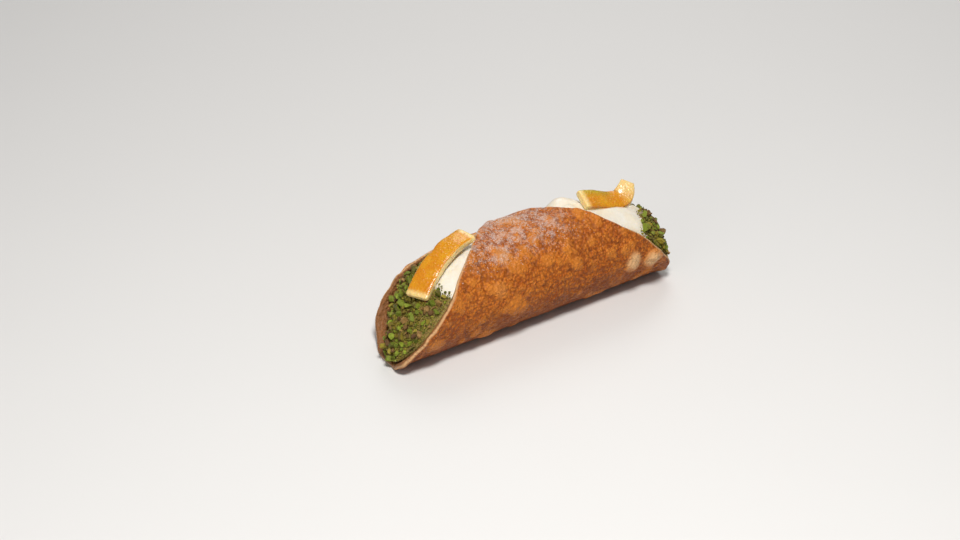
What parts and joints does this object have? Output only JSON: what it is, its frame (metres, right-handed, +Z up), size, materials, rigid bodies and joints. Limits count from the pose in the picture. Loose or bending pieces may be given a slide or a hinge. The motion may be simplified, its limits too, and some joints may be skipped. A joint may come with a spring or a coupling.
{
  "type": "cannoli",
  "caption": "Fried pastry tube of two overlapping flaps, filled with ricotta cream, coated with chopped pistachio at both mouths and topped with candied orange peel.",
  "frame": {"origin": "middle of the bounding box on the surface that the pastry lies on", "axes": "+X along the tube towards the fuller mouth, +Y to the back, where the inner flap is, +Z up"},
  "size_m": [0.1437, 0.0437, 0.044],
  "materials": {
    "fried_pastry": "golden brown fried dough, blistered and mottled, with a light dusting of icing sugar",
    "ricotta_cream": "smooth off-white ricotta cream, faintly grainy, coated with chopped green pistachio at the ends",
    "candied_peel": "glossy translucent orange peel with a paler pith side",
    "chopped_pistachio": "chopped pistachio kernels, from bright green cut faces to olive and brown skin",
    "icing_sugar": "fine white icing sugar, dusted thinly over the top of the pastry"
  },
  "bodies": {
    "root": {"shell": "fried_pastry", "filling": "ricotta_cream", "peel_near": "candied_peel", "peel_far": "candied_peel"}
  },
  "joints": []
}
